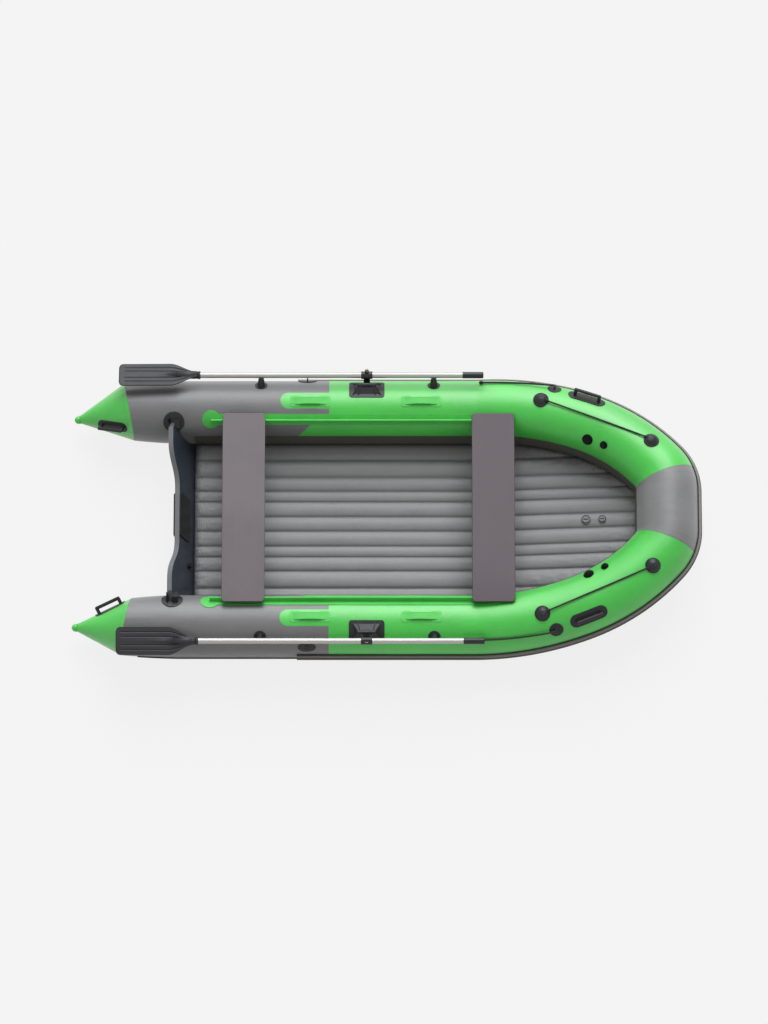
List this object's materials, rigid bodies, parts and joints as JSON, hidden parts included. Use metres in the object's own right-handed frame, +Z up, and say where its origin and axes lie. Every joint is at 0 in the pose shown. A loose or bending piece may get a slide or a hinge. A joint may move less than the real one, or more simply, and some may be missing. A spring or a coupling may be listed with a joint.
{
  "type": "inflatable boat",
  "caption": "Inflatable boat with cone-ended air tubes, channelled air floor, raked motor transom, sliding bench seats and stowed oars on hinged oarlocks.",
  "frame": {"origin": "centre of the footprint of the bounding box, on the floor the tubes rest on", "axes": "+X towards the bow, +Y to port, +Z up"},
  "size_m": [3.3054, 1.6228, 0.4422],
  "materials": {
    "green_pvc": "satin",
    "grey_pvc": "satin",
    "floor_pvc": "matte",
    "seat_plywood": "satin",
    "transom_plywood": "satin",
    "oar_aluminium": "satin",
    "black_plastic": "matte",
    "black_rope": "matte",
    "black_rubber": "matte"
  },
  "bodies": {
    "hull": {"air_floor": "floor_pvc", "bow_handles": "black_rubber", "bow_strake": "grey_pvc", "bow_tube": "grey_pvc", "carry_straps": "green_pvc", "cone_tips": "black_rubber", "drain_plug": "black_plastic", "floor_skirt": "grey_pvc", "floor_valves": "black_plastic", "lifeline_eyes": "black_rubber", "lifelines": "black_rope", "motor_pads": "black_plastic", "oar_rests": "black_rubber", "oar_tethers": "black_rope", "port_aft_tube": "grey_pvc", "port_oarlock_base": "black_rubber", "port_side_tube": "green_pvc", "port_stern_cone": "green_pvc", "port_strake": "grey_pvc", "seat_rails": "green_pvc", "side_rings": "black_rubber", "starboard_aft_tube": "grey_pvc", "starboard_oarlock_base": "black_rubber", "starboard_side_tube": "green_pvc", "starboard_stern_cone": "green_pvc", "starboard_strake": "grey_pvc", "stern_handles": "black_rubber", "strake_beads": "black_rubber", "tether_rings": "black_rubber", "tow_eye": "black_rubber", "transom": "transom_plywood", "transom_holders": "black_rubber", "tube_guards": "black_rubber", "tube_valves": "black_plastic"},
    "aft_seat": {"aft_seat_board": "seat_plywood", "aft_seat_feet": "black_plastic"},
    "front_seat": {"front_seat_board": "seat_plywood", "front_seat_feet": "black_plastic"},
    "port_oarlock": {"port_oarlock_yoke": "black_plastic"},
    "port_oar": {"port_oar_clamp": "black_plastic", "port_oar_shaft": "oar_aluminium", "port_oar_blade": "black_plastic", "port_oar_grip": "black_plastic"},
    "starboard_oarlock": {"starboard_oarlock_yoke": "black_plastic"},
    "starboard_oar": {"starboard_oar_clamp": "black_plastic", "starboard_oar_shaft": "oar_aluminium", "starboard_oar_blade": "black_plastic", "starboard_oar_grip": "black_plastic"}
  },
  "joints": [
    {"name": "aft_seat_slide", "type": "slide", "parent": "hull", "child": "aft_seat", "axis": [1, 0, 0], "range_m": [-0.06, 0.45]},
    {"name": "front_seat_slide", "type": "slide", "parent": "hull", "child": "front_seat", "axis": [1, 0, 0], "range_m": [-0.3, 0]},
    {"name": "port_oar_lift", "type": "hinge", "parent": "hull", "child": "port_oarlock", "pos_m": [-0.105, 0.69014, 0.33723], "axis": [1, 0, 0], "range_deg": [0, 24]},
    {"name": "port_oar_swing", "type": "hinge", "parent": "port_oarlock", "child": "port_oar", "pos_m": [-0.105, 0.74095, 0.34758], "axis": [0, -0.4695, -0.8829], "range_deg": [0, 120]},
    {"name": "starboard_oar_lift", "type": "hinge", "parent": "hull", "child": "starboard_oarlock", "pos_m": [-0.105, -0.69014, 0.33723], "axis": [-1, 0, 0], "range_deg": [0, 24]},
    {"name": "starboard_oar_swing", "type": "hinge", "parent": "starboard_oarlock", "child": "starboard_oar", "pos_m": [-0.105, -0.74095, 0.34758], "axis": [0, -0.4695, 0.8829], "range_deg": [0, 120]}
  ]
}
